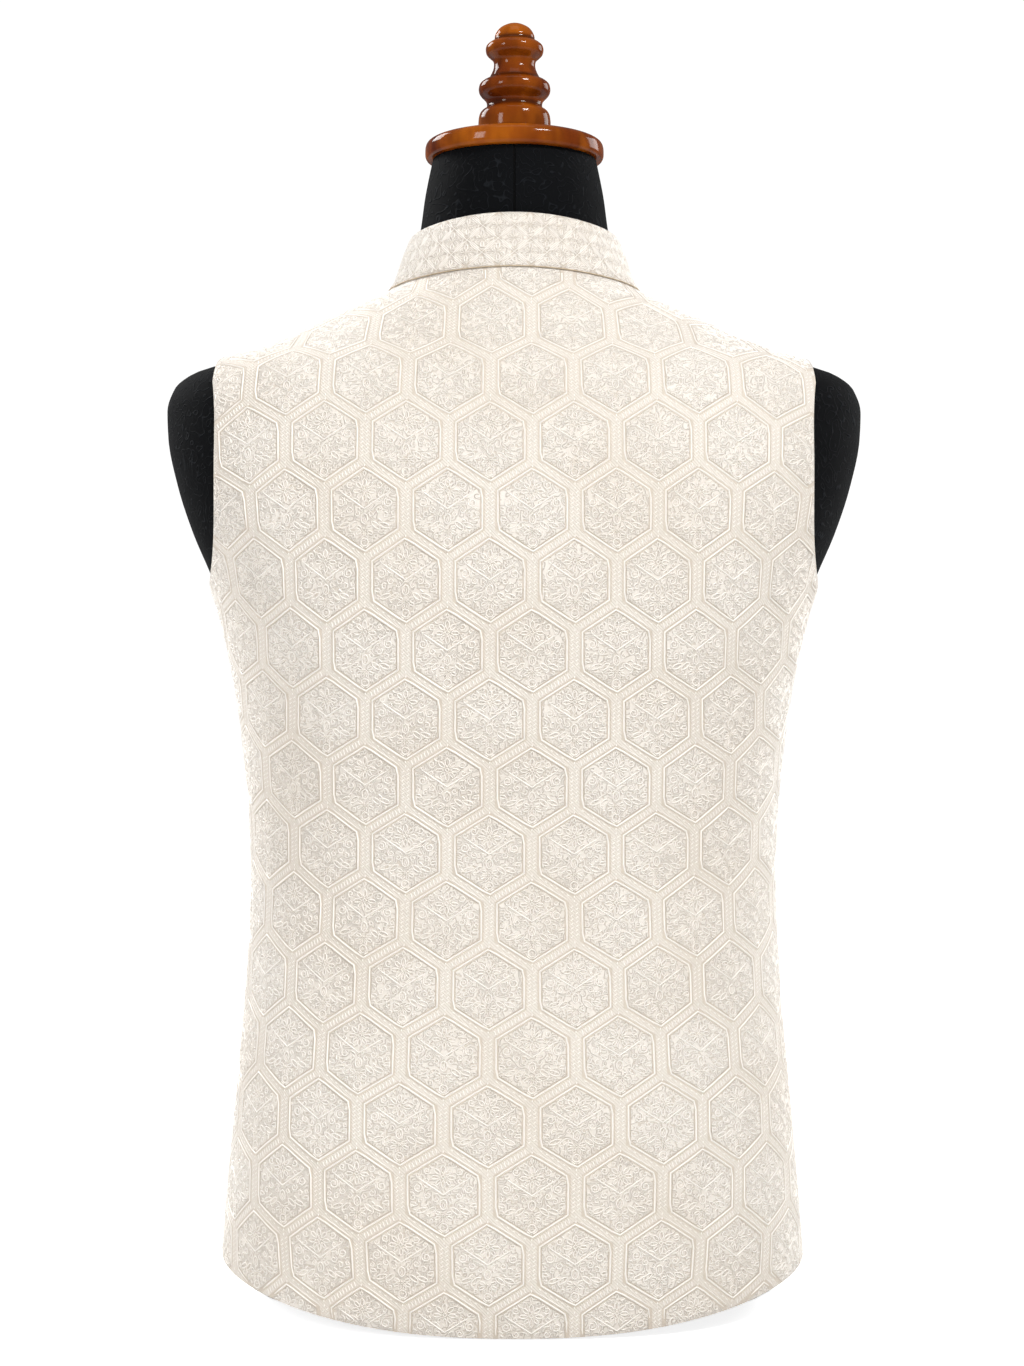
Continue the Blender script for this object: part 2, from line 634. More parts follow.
def press_flat(piece, shape, upright_column, known_height):
    """Unwraps a sheet and gives its map the flat cloth's own metres. Returns each point's place."""
    mesh = piece.data
    while len(mesh.uv_layers) > 0:
        mesh.uv_layers.remove(mesh.uv_layers[0])
    mesh.uv_layers.new(name="cloth")
    bpy.ops.object.mode_set(mode="EDIT")
    bpy.ops.mesh.select_all(action="SELECT")
    bpy.ops.uv.unwrap(method="MINIMUM_STRETCH", margin=0)
    bpy.ops.object.mode_set(mode="OBJECT")
    layer = mesh.uv_layers["cloth"]
    raw = np.empty(len(mesh.loops) * 2, np.float32)
    layer.uv.foreach_get("vector", raw)
    corners = loop_corners(mesh)
    flat = np.zeros((len(mesh.vertices), 2))
    flat[corners] = raw.reshape(-1, 2)
    points = read_points(mesh).reshape(*shape, 3)
    grid = flat.reshape(*shape, 2)
    worn_area = grid_area(points)
    grid = grid * math.sqrt(worn_area / grid_area(np.concatenate([grid, 0 * grid[..., :1]], -1)))
    line = grid[-1, upright_column] - grid[0, upright_column]
    angle = math.pi / 2 - math.atan2(line[1], line[0])
    spin = np.array([[math.cos(angle), math.sin(angle)], [-math.sin(angle), math.cos(angle)]])
    grid = grid @ spin
    known = np.abs(points[:, upright_column, 2] - known_height).argmin()
    grid = grid - grid[known, upright_column] + (0, points[known, upright_column, 2])
    layer.uv.foreach_set("vector", grid.reshape(-1, 2)[corners].astype(np.float32).ravel())
    return grid, worn_area


def grid_area(points):
    across, up = np.diff(points, axis=1)[:-1], np.diff(points, axis=0)[:, :-1]
    return float(np.linalg.norm(np.cross(across, up), axis=-1).sum())


def only_select(pieces):
    bpy.ops.object.select_all(action="DESELECT")
    for piece in pieces:
        piece.select_set(True)
    bpy.context.view_layer.objects.active = pieces[0]


def apply_modifier(piece, kind, **settings):
    only_select([piece])
    modifier = piece.modifiers.new(kind.title(), kind)
    for label, value in settings.items():
        setattr(modifier, label, value)
    bpy.ops.object.modifier_apply(modifier=modifier.name)


def give_thickness(piece, wall, rounding):
    """Makes the sheet a wall, its outer face where it was, with rounded edges."""
    apply_modifier(piece, "SOLIDIFY", thickness=wall, offset=-1, use_rim=True)
    apply_modifier(piece, "BEVEL", width=rounding, segments=2, limit_method="ANGLE",
                   angle_limit=math.radians(50), use_clamp_overlap=True)
    bpy.ops.object.shade_smooth_by_angle(angle=math.radians(40))


square = np.array([[(0, 0, 0), (1, 0, 0)], [(0, 1, 0), (1, 1, 0)]], float)
print("area of a square of one metre:", grid_area(square))

# %% [markdown]
# ## How the cloth lies
#
# A panel's points are moved off the form by the air under the cloth and the wall's own thickness. At
# the front the upper panel climbs over the lower one. A few soft creases are laid by hand where a
# worn waistcoat has them: at the armholes, round the waist, over the seat and below the collar. Each
# is a long, faint hill or trough, and no two of them have the same length, width or lean.

# %% Lifts and creases
def cloth_points(rows, on_shoulder, facing, lift):
    """Moves a half-panel's points out to one face of the cloth."""
    away = form_normal(rows)
    out = rows + away * (ease(rows[..., 2]) + lift)[..., None]
    out[-1][on_shoulder, 1] += facing * SEAM_GAP / 2
    return out


def lap_lift(rows):
    """How far the upper front is raised over the lower one."""
    return (WALL + SEAM_GAP) * (1 - smooth_step(LAP_RISE_START, LAP_RISE_END, rows[..., 0]))


# Soft creases, by hand: x and height of the middle, length, width, lean in degrees, and how proud
# they stand (a trough is negative), all in millimetres. They are faint, as on a new waistcoat.
CREASES = {
    BACK: [
        (150, 452, 105, 20, 62, -0.8), (128, 430, 80, 16, 55, 0.5),
        (-158, 446, 90, 18, -66, -0.9), (-122, 418, 70, 15, -52, 0.5),
        (118, 262, 120, 26, 12, -0.7), (-128, 286, 95, 22, -8, -0.6), (-60, 246, 130, 30, 6, 0.5),
        (95, 128, 150, 30, 84, 0.9), (-108, 112, 120, 26, 95, 0.8), (20, 92, 110, 34, 88, -0.6),
        (60, 606, 60, 16, 25, -0.5), (-66, 604, 70, 18, -22, -0.5),
    ],
    FRONT: [
        (148, 448, 95, 18, 60, -0.8), (118, 420, 70, 15, 50, 0.6), (104, 270, 110, 24, 10, -0.7),
        (60, 236, 80, 20, -6, 0.5), (110, 122, 130, 28, 86, 0.9), (58, 96, 90, 26, 92, -0.5),
        (70, 596, 55, 15, 30, -0.5),
    ],
}


def crease_lift(rows, facing):
    """How far the creases move the cloth out or in."""
    x, z = rows[..., 0] / MM, rows[..., 2] / MM
    lift = np.zeros_like(x)
    for mid_x, mid_z, length, width, lean, proud in CREASES[facing]:
        cos, sin = math.cos(math.radians(lean)), math.sin(math.radians(lean))
        along = ((x - mid_x) * cos + (z - mid_z) * sin) / (length / 2)
        across = (-(x - mid_x) * sin + (z - mid_z) * cos) / (width / 2)
        lift += proud * np.exp(-2 * along ** 2 - 2 * across ** 2)
    return lift * MM


print("creases:", {name: len(CREASES[facing]) for name, facing in (("back", BACK), ("front", FRONT))})

# %% [markdown]
# ## Charting the raised pattern
#
# A weaver charts one repeat and the loom does the rest, so here too one hexagon is charted by hand
# and then copied over the lattice. A chart needs only a few kinds of stroke: leaf, curl, ring and
# bow. Each one gives evenly spaced points, in millimetres, and few of them, because every stroke is
# copied well over a hundred times.

# %% The kinds of stroke
STROKE_STEP = 2.1                # between the points of a stroke, in millimetres


def smooth_line(points, closed=False, step=STROKE_STEP):
    """Evenly spaced points along the straight pieces between some points."""
    points = np.array(points + points[:1] if closed else points, float)
    lengths = np.concatenate([[0], np.cumsum(np.linalg.norm(np.diff(points, axis=0), axis=1))])
    count = max(int(round(lengths[-1] / step)), 3 if closed else 1)
    places = np.linspace(0, lengths[-1], count + 1)
    return np.stack([np.interp(places, lengths, points[:, k]) for k in (0, 1)], axis=-1)


def leaf(x, y, length, breadth, angle):
    t = np.linspace(0, 1, 24)
    along, across = length * np.sin(math.pi * t) ** 2, breadth / 2 * np.sin(math.tau * t)
    cos, sin = math.cos(math.radians(angle)), math.sin(math.radians(angle))
    points = np.stack([x + along * cos - across * sin, y + along * sin + across * cos], axis=-1)
    return smooth_line(points.tolist())


def curl(x, y, radius, start, turns):
    t = np.linspace(0, 1, 40)
    angle = math.radians(start) + math.tau * turns * t
    reach = radius * (1 - 0.7 * t)
    points = np.stack([x + reach * np.cos(angle), y + reach * np.sin(angle)], axis=-1)
    return smooth_line(points.tolist())


def ring(x, y, radius):
    angle = np.linspace(0, math.tau, 32)
    return smooth_line(np.stack([x + radius * np.cos(angle), y + radius * np.sin(angle)], -1).tolist())


def bow(x, y, to_x, to_y, sag):
    t = np.linspace(0, 1, 16)[:, None]
    start, end = np.array([x, y]), np.array([to_x, to_y])
    aside = np.array([start[1] - end[1], end[0] - start[0]]) / np.linalg.norm(end - start)
    return smooth_line((mix(start, end, t) + aside * sag * 4 * t * (1 - t)).tolist())


print("points in a leaf of 5 mm:", len(leaf(0, 0, 5, 2, 0)))

# %% [markdown]
# ## One repeat of the pattern
#
# The flowers and scrolls are a design of this lesson's own, in the manner of brocade: an upper field
# with one flower, a lower field with another, and curls in the corners. Only the right-hand half is
# listed, and what isn't on the middle line is mirrored. The collar's diamonds get a small flower.

# %% The charts
# Strokes of the upper field and the lower field, the right-hand half of each. A leaf has its foot,
# length, breadth and angle, a curl its centre, radius, start and turns, a bow its ends and its sag.
BLOSSOMS = [
    (ring, 0, 11.2, 1.3), (leaf, 0, 13.2, 5.4, 2.8, 90), (leaf, 1.5, 12.7, 5.2, 2.3, 42),
    (leaf, 2.1, 11.1, 5.4, 2.3, -4), (leaf, 1.5, 9.7, 4.6, 2.0, -50), (leaf, 0, 9.3, 5.0, 2.3, -90),
    (leaf, 0, 19.8, 3.4, 1.9, 90), (leaf, 0, -8.8, 6.4, 4.2, 90), (leaf, 0, -7.9, 3.6, 1.5, 90),
    (ring, 0, -12.4, 1.1), (leaf, 1.3, -11.8, 4.4, 1.9, 24), (leaf, 1.5, -13.0, 4.6, 1.9, -22),
    (leaf, 0.8, -13.9, 3.4, 1.6, -66), (leaf, 4.4, -7.4, 7.0, 2.7, -36),
    (leaf, 9.3, -8.2, 7.4, 2.7, -20), (leaf, 15.4, -6.4, 4.8, 2.2, 16), (ring, 0, -19.5, 2.5),
    (ring, 0, -19.5, 0.9),
]
SCROLLS = [
    (curl, 9.4, 14.7, 2.4, 200, 1.4), (curl, 10.0, 9.1, 2.1, 20, -1.4),
    (curl, 14.9, 12.1, 1.8, 160, 1.3), (curl, 4.4, 18.9, 1.7, 250, -1.3),
    (bow, 2.8, 4.0, 7.4, 6.6, 0.8), (bow, 5.4, 16.6, 8.2, 18.2, -0.6),
    (curl, 15.1, 4.2, 3.1, 100, 1.6), (curl, 9.2, -0.2, 2.4, 60, -1.5),
    (curl, 18.4, -2.2, 1.8, 90, 1.4), (curl, 4.6, -2.8, 2.0, 100, 1.4),
    (curl, 13.4, -3.4, 2.2, 150, -1.4), (curl, 19.2, 8.4, 1.2, 200, 1.1),
    (curl, 7.6, -16.2, 1.8, 60, 1.4), (curl, 12.6, -13.6, 1.6, 120, -1.3),
    (curl, 17.6, -10.2, 1.5, 60, 1.3), (curl, 4.6, -18.2, 1.3, 200, 1.2),
    (bow, 7.6, 4.2, 12.0, 6.4, -0.7), (bow, 1.8, -1.0, 5.4, 1.2, 0.7),
    (bow, 9.0, -5.4, 11.0, -6.9, -0.5), (bow, 16.8, 0.2, 19.6, 1.4, 0.6),
    (bow, 3.0, -21.4, 1.0, -22.9, 0.3), (bow, 10.2, -11.8, 8.6, -13.4, 0.5),
    (bow, 19.4, -6.2, 19.0, -7.8, 0.4), (bow, 11.8, 2.6, 11.2, 5.0, 0.6),
]
DIAMOND_FLOWER = [
    (ring, 0, 0, 0.9), (leaf, 0, 1.3, 4.6, 2.2, 90), (leaf, 0, -1.3, 4.6, 2.2, -90),
    (leaf, 1.2, 0.5, 3.6, 1.6, 28), (leaf, 1.2, -0.5, 3.6, 1.6, -28),
    (curl, 7.0, 0.1, 1.4, 180, 1.2), (bow, 2.0, 6.1, 8.0, 0.9, -0.35),
    (bow, 1.7, 4.0, 5.0, 1.4, 0.3), (bow, 2.0, -6.1, 8.0, -0.9, 0.35),
    (bow, 1.7, -4.0, 5.0, -1.4, -0.3),
]

half_width, half_height, side = HEX_HALF_WIDTH / MM, HEX_HALF_HEIGHT / MM, HEX_SIDE / MM
HEXAGON = [(half_width, -side), (half_width, side), (0, half_height), (-half_width, side),
           (-half_width, -side), (0, -half_height)]
CHEVRON = [(-15.8, 10.9), (0, 0.4), (15.8, 10.9)]
HALF_PITCH, HALF_ROW = PITCH / MM / 2, ROW_PITCH / MM / 2
# width and rise of each kind of ridge
FLOWER = (1.2, 0.6)
HEXAGON_LINE, CHEVRON_LINE, DIAMOND_LINE = (1.7, 0.7), (1.4, 0.6), (1.5, 0.7)
BAR, DOT, CHANNEL_LINE, TICK, KNOT = (1.1, 0.4), (0.9, 0.3), (0.9, 0.36), (0.9, 0.34), (1.2, 0.36)


def channel_point(along, across, side):
    """A place in the slanted channel above the hexagon's right (1) or left (-1) shoulder."""
    cos, sin = math.cos(HEX_SLOPE), side * math.sin(HEX_SLOPE)
    return side * HALF_PITCH / 2 + along * cos + across * sin, HALF_ROW - along * sin + across * cos


def dash(x, y, length, angle):
    angle = math.radians(angle)
    cos, sin = math.cos(angle) * length / 2, math.sin(angle) * length / 2
    return np.array([(x - cos, y - sin), (x + cos, y + sin)])


def lattice_strokes():
    """The hexagon's line, the chevron and the small marks in three of the six channels round it."""
    strokes = [(smooth_line(HEXAGON, closed=True, step=6.2), *HEXAGON_LINE)]
    strokes.append((smooth_line(CHEVRON, step=4.7), *CHEVRON_LINE))
    for k in range(10):
        strokes.append((dash(*channel_point(2.35 * (k - 4.5), 0, -1), 2.7, -72), *BAR))
    for k in range(6):
        dot = dash(*channel_point(4.0 * (k - 2.5), 1.1, 1), 1.5, -math.degrees(HEX_SLOPE))
        strokes.append((dot, *DOT))
    low, high = channel_point(-11.5, -1.3, 1), channel_point(11.5, -1.3, 1)
    strokes.append((smooth_line([low, high], step=5.8), *CHANNEL_LINE))
    for k in range(8):
        y = 2.7 * (k - 3.5)
        strokes.append((dash(HALF_PITCH - 1.5, y, 1.9, 40), *TICK))
        strokes.append((dash(HALF_PITCH + 1.5, y + 1.35, 1.9, 40), *TICK))
    for x, y in ((HALF_PITCH, -8.2), (HALF_PITCH, -5.4), (0, 5.4), (0, 8.2)):
        strokes.append((dash(x, HALF_ROW + y, 1.2, 90), *KNOT))
    return strokes


def diamond_strokes():
    """Two sides of a diamond of the collar's cloth. The other two are its neighbours'."""
    half_width, half_height = DIAMOND_WIDTH / MM / 2, DIAMOND_HEIGHT / MM / 2
    return [(smooth_line([(side * half_width, 0), (0, half_height)], step=3.2), *DIAMOND_LINE)
            for side in (-1, 1)]


def charted(chart):
    """A chart's strokes with their mirrored halves."""
    strokes = []
    for shape, *numbers in chart:
        line = shape(*numbers)
        strokes.append((line, *FLOWER))
        if numbers[0] > 0:
            strokes.append(((line * (-1, 1))[::-1], *FLOWER))
    return strokes


HEXAGONS = {"lattice": lattice_strokes(), "blossoms": charted(BLOSSOMS), "scrolls": charted(SCROLLS)}
DIAMONDS = {"lattice": diamond_strokes(), "blossoms": charted(DIAMOND_FLOWER)}
for part, strokes in (*HEXAGONS.items(), *DIAMONDS.items()):
    print(part, len(strokes), "strokes,", 6 * sum(len(line) - 1 for line, _, _ in strokes), "faces")

# %% [markdown]
# ## Laying the pattern on a panel
#
# Each stroke becomes a slim closed ridge with a three-cornered section: two feet that are sunk a
# little into the cloth, and a crest. The ridges are first made flat, with real heights, over the
# pressed panel. A map of its outline, one square for each millimetre, says which of them are on the
# cloth, and those that cross its edge are cut short there.

# %% Ridges on the flat cloth
SUNK = 0.14 * MM                 # the ridges' feet lie this far inside the cloth
END_TAPER = 0.45                 # an open ridge's width and rise at its ends, as a share
EDGE_MARGIN = 1                  # millimetres of plain cloth along a panel's folded edges


def ridge(line, width, rise):
    """A closed ridge along a line of the chart, in metres: points with their heights, and faces."""
    closed = np.allclose(line[0], line[-1])
    points = line[:-1] if closed else line
    count = len(points)
    if closed:
        ahead = np.roll(points, -1, 0) - np.roll(points, 1, 0)
        taper = np.ones(count)
    else:
        ahead = np.gradient(points, axis=0)
        reach = np.minimum(np.arange(count), np.arange(count)[::-1]) + (1 if count == 2 else 0)
        taper = np.where(reach == 0, END_TAPER, 1.0)
    ahead /= np.linalg.norm(ahead, axis=1, keepdims=True)
    aside = np.stack([-ahead[:, 1], ahead[:, 0]], axis=-1) * (taper * width / 2)[:, None]
    places = np.stack([points + aside, points, points - aside], axis=1)
    rises = np.stack([0 * taper - SUNK / MM, taper * rise, 0 * taper - SUNK / MM], axis=1)
    corners = np.concatenate([places, rises[..., None]], axis=-1).reshape(-1, 3) * MM
    spans = np.arange(count if closed else count - 1)
    here, there = 3 * spans, 3 * ((spans + 1) % count)
    faces = []
    for a, b in ((1, 0), (2, 1), (0, 2)):
        faces.append(np.stack([here + a, here + b, there + b], axis=-1))
        faces.append(np.stack([here + a, there + b, there + a], axis=-1))
    if not closed:
        last = 3 * (count - 1)
        faces.append(np.array([(0, 1, 2), (last, last + 2, last + 1)]))
    return corners, np.concatenate(faces)


def inside_map(grid):
    """A map of the pressed panel, a square for each millimetre, True well inside its edges."""
    border = np.concatenate([grid[0], grid[1:, -1], grid[-1, -2::-1], grid[-2:0:-1, 0]]) / MM
    low = np.floor(border.min(0)).astype(int) - 3
    wide, high = np.ceil(border.max(0)).astype(int) - low + 3
    start, end = border, np.roll(border, -1, 0)
    across = low[0] + np.arange(wide) + 0.5
    found = np.zeros((high, wide), bool)
    for row in range(high):
        y = low[1] + row + 0.5
        crosses = (start[:, 1] <= y) != (end[:, 1] <= y)
        a, b = start[crosses], end[crosses]
        x = a[:, 0] + (y - a[:, 1]) * (b[:, 0] - a[:, 0]) / (b[:, 1] - a[:, 1])
        found[row] = (x[:, None] < across).sum(0) % 2 == 1
    for _ in range(EDGE_MARGIN):
        for axis in (0, 1):
            found &= np.roll(found, 1, axis) & np.roll(found, -1, axis)
    return found, low


def is_inside(found, low, places):
    """Whether places in metres are on the mapped panel."""
    at = np.floor(places / MM).astype(int) - low
    good = (at >= 0).all(-1) & (at[..., 0] < found.shape[1]) & (at[..., 1] < found.shape[0])
    at = np.clip(at, 0, (found.shape[1] - 1, found.shape[0] - 1))
    return good & found[at[..., 1], at[..., 0]]


def runs_inside(line, good):
    """The stretches of a line whose points are good."""
    runs, start = [], None
    for i, here in enumerate([*good, False]):
        if here and start is None:
            start = i
        elif not here and start is not None:
            if i - start >= 2:
                runs.append(line[start:i])
            start = None
    return runs


def repeated(grid, strokes, origin, pitch, row_pitch):
    """Copies the repeat all over a pressed panel. Returns the ridges' points and faces."""
    found, low = inside_map(grid)
    whole = [ridge(*stroke) for stroke in strokes]
    offsets = np.cumsum([0] + [len(corners) for corners, _ in whole])[:-1]
    repeat = np.concatenate([corners for corners, _ in whole])
    repeat_faces = np.concatenate([faces + at for (_, faces), at in zip(whole, offsets)])
    border = grid.reshape(-1, 2)
    columns, rows = (np.abs(border - origin).max(0) / (pitch, row_pitch)).astype(int) + 2
    corners, faces, count = [], [], 0
    for row in range(-rows, rows + 1):
        for column in range(-columns, columns + 1):
            centre = np.array([(column + row % 2 / 2) * pitch, row * row_pitch]) + origin
            moved = repeat + (*centre, 0)
            good = is_inside(found, low, moved[:, :2])
            if good.all():
                pieces = [(moved, repeat_faces)]
            elif good.any():
                pieces = []
                for line, width, rise in strokes:
                    placed = line * MM + centre
                    for run in runs_inside(placed, is_inside(found, low, placed)):
                        pieces.append(ridge(run / MM, width, rise))
            else:
                continue
            for some_corners, some_faces in pieces:
                corners.append(some_corners)
                faces.append(some_faces + count)
                count += len(some_corners)
    return np.concatenate(corners), np.concatenate(faces)


some_corners, some_faces = ridge(leaf(0, 0, 5, 2, 0), *FLOWER)
print("one leaf:", len(some_corners), "points and", len(some_faces), "faces")

# %% [markdown]
# ## From the flat cloth to the worn one
#
# Geometry Nodes looks up every point of the flat pattern on the worn panel with Sample UV Surface,
# which gives the place and the outward direction at that spot of the cloth, and moves it there. This
# is quicker than projecting, and a pattern laid this way never slides or stretches across the cloth.
# A point that falls just between two faces finds nothing, so it is looked up again a hair beside.

# %% Wrap the pattern
BESIDE = (0.05 * MM, 0.03 * MM, 0)


def lay_pattern(name, cloth, grid, strokes, origin, pitch, row_pitch):
    """Makes the ridges of a pressed panel and wraps them onto the worn one."""
    corners, faces = repeated(grid, strokes, origin, pitch, row_pitch)
    mesh = bpy.data.meshes.new(name)
    mesh.from_pydata(corners, [], faces.tolist())
    piece = bpy.data.objects.new(name, mesh)
    scene.collection.objects.link(piece)
    layer = mesh.uv_layers.new(name="cloth")
    layer.uv.foreach_set("vector", corners[loop_corners(mesh)][:, :2].astype(np.float32).ravel())
    crest = mesh.attributes.new("crest", "FLOAT", "POINT")
    crest.data.foreach_set("value", (corners[:, 2] > 0).astype(np.float32))
    apply_modifier(piece, "NODES", node_group=wrapping_nodes(cloth))
    bpy.ops.object.shade_smooth_by_angle(angle=math.radians(75))
    print(name, len(faces), "faces")
    return piece


def wrapping_nodes(cloth):
    """Geometry Nodes that move flat points (across, up, height) onto a worn sheet."""
    group = bpy.data.node_groups.new("lay on " + cloth.name, "GeometryNodeTree")
    group.interface.new_socket("Geometry", in_out="INPUT", socket_type="NodeSocketGeometry")
    group.interface.new_socket("Geometry", in_out="OUTPUT", socket_type="NodeSocketGeometry")

    def node(kind, values=None, **settings):
        made = group.nodes.new(kind)
        for label, value in settings.items():
            setattr(made, label, value)
        for label, value in (values or {}).items():
            if isinstance(value, bpy.types.NodeSocket):
                group.links.new(value, made.inputs[label])
            else:
                made.inputs[label].default_value = value
        return made

    source, result = node("NodeGroupInput"), node("NodeGroupOutput")
    worn = node("GeometryNodeObjectInfo", {"Object": cloth}).outputs["Geometry"]
    cloth_map = node("GeometryNodeInputNamedAttribute", {"Name": "cloth"}, data_type="FLOAT_VECTOR")
    outward = node("GeometryNodeInputNamedAttribute", {"Name": "outward"}, data_type="FLOAT_VECTOR")
    place = node("GeometryNodeInputPosition").outputs[0]
    height = node("ShaderNodeSeparateXYZ", {0: place}).outputs[2]
    beside = node("ShaderNodeVectorMath", {0: place, 1: BESIDE}, operation="ADD").outputs[0]

    def looked_up(value):
        """The worn cloth's value at a place or, where that falls between two faces, just beside it."""
        values = {"Mesh": worn, "UV Map": cloth_map.outputs[0], "Sample UV": place, "Value": value}
        here = node("GeometryNodeSampleUVSurface", values, data_type="FLOAT_VECTOR").outputs
        values["Sample UV"] = beside
        there = node("GeometryNodeSampleUVSurface", values, data_type="FLOAT_VECTOR").outputs
        values = {"Switch": here["Is Valid"], "False": there["Value"], "True": here["Value"]}
        return node("GeometryNodeSwitch", values, input_type="VECTOR").outputs[0]

    point, direction = looked_up(place), looked_up(outward.outputs[0])
    up = node("ShaderNodeVectorMath", {0: direction, "Scale": height}, operation="SCALE").outputs[0]
    moved = node("ShaderNodeVectorMath", {0: point, 1: up}, operation="ADD").outputs[0]
    values = {"Geometry": source.outputs[0], "Position": moved}
    group.links.new(node("GeometryNodeSetPosition", values).outputs[0], result.inputs[0])
    return group


print("a second look is taken", BESIDE[0] / MM, "mm beside the first")

# %% [markdown]
# ## Back and fronts
#
# The back is one piece and has no centre seam. The fronts meet with a lap, the wearer's left one on
# top, which is lifted over the other by the cloth's own thickness. Each panel gets its flat map, its
# pattern and then its thickness, and is declared as a sheet with the cut that it was made from.

# %% Make the panels
EDGE_ROUNDING = 0.7 * MM


def worn_panel(name, points, outward, wall, rounding, upright_column, origin, weave):
    """A panel with its pattern: the worn sheet, and the pieces that lie on it."""
    pattern, nearest, pitch, row_pitch = weave
    piece = grid_piece(f"{name}_cloth", points)
    attribute = piece.data.attributes.new("outward", "FLOAT_VECTOR", "POINT")
    attribute.data.foreach_set("vector", outward.astype(np.float32).ravel())
    grid, area = press_flat(piece, points.shape[:2], upright_column, origin[1])
    relief = [lay_pattern(f"{name}_{part}", piece, grid, strokes, origin, pitch, row_pitch)
              for part, strokes in pattern.items()]
    for part in relief:
        satin.put_on(part)
    piece.data.attributes.remove(piece.data.attributes["outward"])
    give_thickness(piece, wall, rounding)
    ground_brocade(f"{name} brocade ground", nearest, origin).put_on(piece)
    for part in (piece, *relief):
        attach(part, "root")
    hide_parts(name)


def whole_back():
    lift = WALL + crease_lift(back_half, BACK)
    far = crease_lift(back_half * (-1, 1, 1), BACK) + WALL
    away = form_normal(back_half)
    near_side = cloth_points(back_half, back_on_shoulder, BACK, lift)[:, ::-1]
    far_side = cloth_points(back_half, back_on_shoulder, BACK, far) * (-1, 1, 1)
    points = np.concatenate([near_side, far_side[:, 1:]], axis=1)
    outward = np.concatenate([away[:, ::-1], (away * (-1, 1, 1))[:, 1:]], axis=1)
    return points, outward


body_weave = (HEXAGONS, nearest_hexagon, PITCH, ROW_PITCH)
points, outward = whole_back()
worn_panel("back", points, outward, WALL, EDGE_ROUNDING, points.shape[1] // 2, LATTICE_ORIGIN,
           body_weave)

crease = crease_lift(front_half, FRONT)
away = form_normal(front_half)
left = cloth_points(front_half, front_on_shoulder, FRONT, WALL + lap_lift(front_half) + crease)
right = mirrored(cloth_points(front_half, front_on_shoulder, FRONT, WALL + crease))
centre_column = int(np.abs(front_half[0, :, 0]).argmin())
FRONT_ORIGIN = (PITCH / 2, LATTICE_ORIGIN[1])
worn_panel("front_left", left, away, WALL, EDGE_ROUNDING, centre_column, FRONT_ORIGIN, body_weave)
worn_panel("front_right", right, mirrored(away), WALL, EDGE_ROUNDING,
           right.shape[1] - 1 - centre_column, FRONT_ORIGIN, body_weave)

# %% [markdown]
# ## The collar
#
# A stand collar is a band, folded double over a stiffener and sewn to the neckline. It leans in
# towards the neck, and its ends meet at the centre front with rounded corners. Its points go from the
# neckline up to the fold, bulging a little between the two.

# %% Make the collar
COLLAR_RADIUS, COLLAR_CORNER = 66 * MM, 12 * MM
COLLAR_TOP, COLLAR_BACK_RISE, COLLAR_FRONT_DROP = 686.3 * MM, 6.9 * MM, 47.6 * MM
COLLAR_SEAM_INSET = 0.45 * MM
COLLAR_CROWN = 1.2 * MM
COLLAR_ROWS, COLLAR_FINER = 14, 3
COLLAR_ROUNDING = 1.35 * MM


def collar_line(turn, share):
    """A point of the form under the collar, from its seam (share 0) to its fold (share 1)."""
    at_back = np.sin(turn) >= 0
    facing = np.where(at_back, BACK, FRONT)
    sine = np.abs(np.sin(turn))
    ends = [neckline_height(NECK_X * np.cos(turn), side) for side in (BACK, FRONT)]
    seam_z = np.where(at_back, *ends) + SEAM_GAP
    seam_x = (NECK_X - COLLAR_SEAM_INSET) * np.cos(turn)
    seam = form_point(turn_at_x(seam_x, seam_z, facing), seam_z)
    drop = COLLAR_FRONT_DROP * sine ** NECK_FRONT_CURVE
    lean = np.where(at_back, COLLAR_BACK_RISE * sine ** 2, -drop)
    from_end = COLLAR_RADIUS * np.minimum(turn + math.pi / 2, 1.5 * math.pi - turn)
    in_corner = np.maximum(COLLAR_CORNER - from_end, 0)
    fold_z = COLLAR_TOP + lean - COLLAR_CORNER + np.sqrt(COLLAR_CORNER ** 2 - in_corner ** 2)
    bearing = np.arctan2(seam[..., 1] - section(seam_z)[2], seam[..., 0])
    swing = (turn - bearing + math.pi) % math.tau - math.pi
    return bearing_point(bearing + swing * share, mix(seam_z, fold_z, share))


def bearing_point(bearing, z):
    """The point of the form at height z in a direction from the middle of the section."""
    half_width, half_depth, centre, power = section(z)
    cos, sin = np.cos(bearing), np.sin(bearing)
    reach = (np.abs(cos / half_width) ** power + np.abs(sin / half_depth) ** power) ** (-1 / power)
    return np.stack([reach * cos, centre + reach * sin, z], axis=-1)


front_turns = finer(np.array(NECK_DEGREES[FRONT]) - 90, COLLAR_FINER)
back_turns = finer(90 - np.array(NECK_DEGREES[BACK][::-1]), COLLAR_FINER)[1:]
turns = np.concatenate([front_turns, back_turns])
turns = np.radians(np.concatenate([turns, 180 - turns[-2::-1]]))[None]
share = np.linspace(0, 1, COLLAR_ROWS + 1)[:, None]
band = collar_line(turns + 0 * share, share + 0 * turns)
away = form_normal(band)
lift = CHEST_EASE + COLLAR_WALL + COLLAR_CROWN * np.sin(math.pi * share)
points = band + away * lift[..., None]
middle = points[COLLAR_ROWS // 2, points.shape[1] // 2]
collar_weave = (DIAMONDS, nearest_diamond, DIAMOND_WIDTH, DIAMOND_HEIGHT / 2)
worn_panel("collar", points, away, COLLAR_WALL, COLLAR_ROUNDING, points.shape[1] // 2,
           (0, middle[2]), collar_weave)

